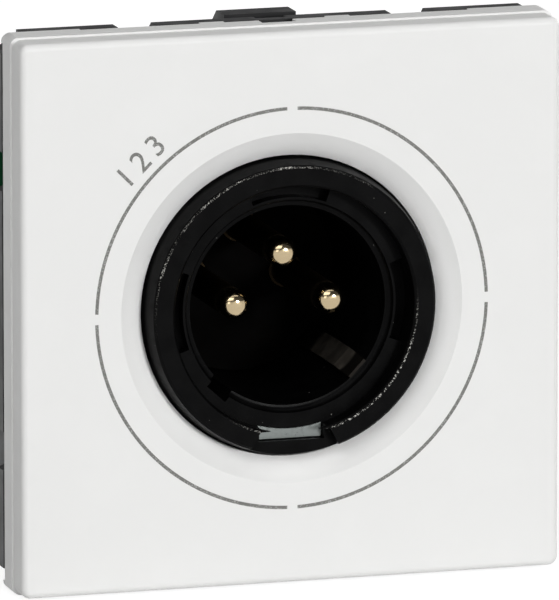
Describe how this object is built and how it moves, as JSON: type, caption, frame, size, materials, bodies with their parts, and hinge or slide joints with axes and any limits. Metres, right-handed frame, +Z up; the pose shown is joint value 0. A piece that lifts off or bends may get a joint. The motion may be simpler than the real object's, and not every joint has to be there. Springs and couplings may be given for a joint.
{
  "type": "xlr wall socket",
  "caption": "Square white wall socket insert with a round black three-pole audio receptacle, snap-in frame, circuit board and rear screw clamps.",
  "frame": {"origin": "middle of the plate on the plane where the flange seats on the support frame", "axes": "+Z up, +Y into the wall, +X to the right seen from the front; the socket faces -Y"},
  "size_m": [0.045, 0.0334, 0.045],
  "materials": {
    "cover_white": "satin white moulded plastic",
    "frame_black": "matt black moulded plastic",
    "shell_black": "satin black moulded plastic, worn bright on its edges",
    "insert_black": "matt black moulded plastic",
    "contact_gold": "gold-plated, polished tips",
    "ground_strip": "dull tinned spring strip",
    "latch_steel": "satin plated steel",
    "board_laminate": "green solder mask on glass laminate",
    "block_plastic": "light grey moulded plastic",
    "clamp_nickel": "nickel-plated brass",
    "clamp_screw_steel": "zinc-plated steel",
    "contact_tin": "tinned copper",
    "screw_steel": "zinc-plated steel"
  },
  "bodies": {
    "socket": {"cover_plate": "cover_white", "mounting_frame": "frame_black", "receptacle_shell": "shell_black", "contact_insert": "insert_black", "ground_contact": "ground_strip", "latch_plate": "latch_steel", "circuit_board": "board_laminate", "terminal_block": "block_plastic", "contact_pin_1": "contact_gold", "contact_pin_2": "contact_gold", "contact_pin_3": "contact_gold", "receptacle_screw_1": "screw_steel", "receptacle_screw_2": "screw_steel", "board_screw_1": "screw_steel", "terminal_contact_1": "contact_tin", "board_screw_2": "screw_steel", "terminal_contact_2": "contact_tin", "board_screw_3": "screw_steel", "terminal_contact_3": "contact_tin", "board_screw_4": "screw_steel", "terminal_contact_4": "contact_tin"},
    "screw_1": {"clamp_screw_1": "clamp_screw_steel"},
    "cage_1": {"clamp_cage_1": "clamp_nickel"},
    "screw_2": {"clamp_screw_2": "clamp_screw_steel"},
    "cage_2": {"clamp_cage_2": "clamp_nickel"},
    "screw_3": {"clamp_screw_3": "clamp_screw_steel"},
    "cage_3": {"clamp_cage_3": "clamp_nickel"},
    "screw_4": {"clamp_screw_4": "clamp_screw_steel"},
    "cage_4": {"clamp_cage_4": "clamp_nickel"}
  },
  "joints": [
    {"name": "screw_turn_1", "type": "hinge", "parent": "socket", "child": "screw_1", "pos_m": [-0.00762, 0.02312, -0.0125], "axis": [0, -1, 0], "range_deg": [0, 1800]},
    {"name": "cage_rise_1", "type": "slide", "parent": "socket", "child": "cage_1", "axis": [0, 1, 0], "range_m": [0, 0.00225]},
    {"name": "screw_turn_2", "type": "hinge", "parent": "socket", "child": "screw_2", "pos_m": [-0.00254, 0.02312, -0.0125], "axis": [0, -1, 0], "range_deg": [0, 1800]},
    {"name": "cage_rise_2", "type": "slide", "parent": "socket", "child": "cage_2", "axis": [0, 1, 0], "range_m": [0, 0.00225]},
    {"name": "screw_turn_3", "type": "hinge", "parent": "socket", "child": "screw_3", "pos_m": [0.00254, 0.02312, -0.0125], "axis": [0, -1, 0], "range_deg": [0, 1800]},
    {"name": "cage_rise_3", "type": "slide", "parent": "socket", "child": "cage_3", "axis": [0, 1, 0], "range_m": [0, 0.00225]},
    {"name": "screw_turn_4", "type": "hinge", "parent": "socket", "child": "screw_4", "pos_m": [0.00762, 0.02312, -0.0125], "axis": [0, -1, 0], "range_deg": [0, 1800]},
    {"name": "cage_rise_4", "type": "slide", "parent": "socket", "child": "cage_4", "axis": [0, 1, 0], "range_m": [0, 0.00225]}
  ],
  "couplings": [
    {"joint": "screw_turn_1", "follows": "cage_rise_1", "rad_per_m": 13963},
    {"joint": "screw_turn_2", "follows": "cage_rise_2", "rad_per_m": 13963},
    {"joint": "screw_turn_3", "follows": "cage_rise_3", "rad_per_m": 13963},
    {"joint": "screw_turn_4", "follows": "cage_rise_4", "rad_per_m": 13963}
  ]
}
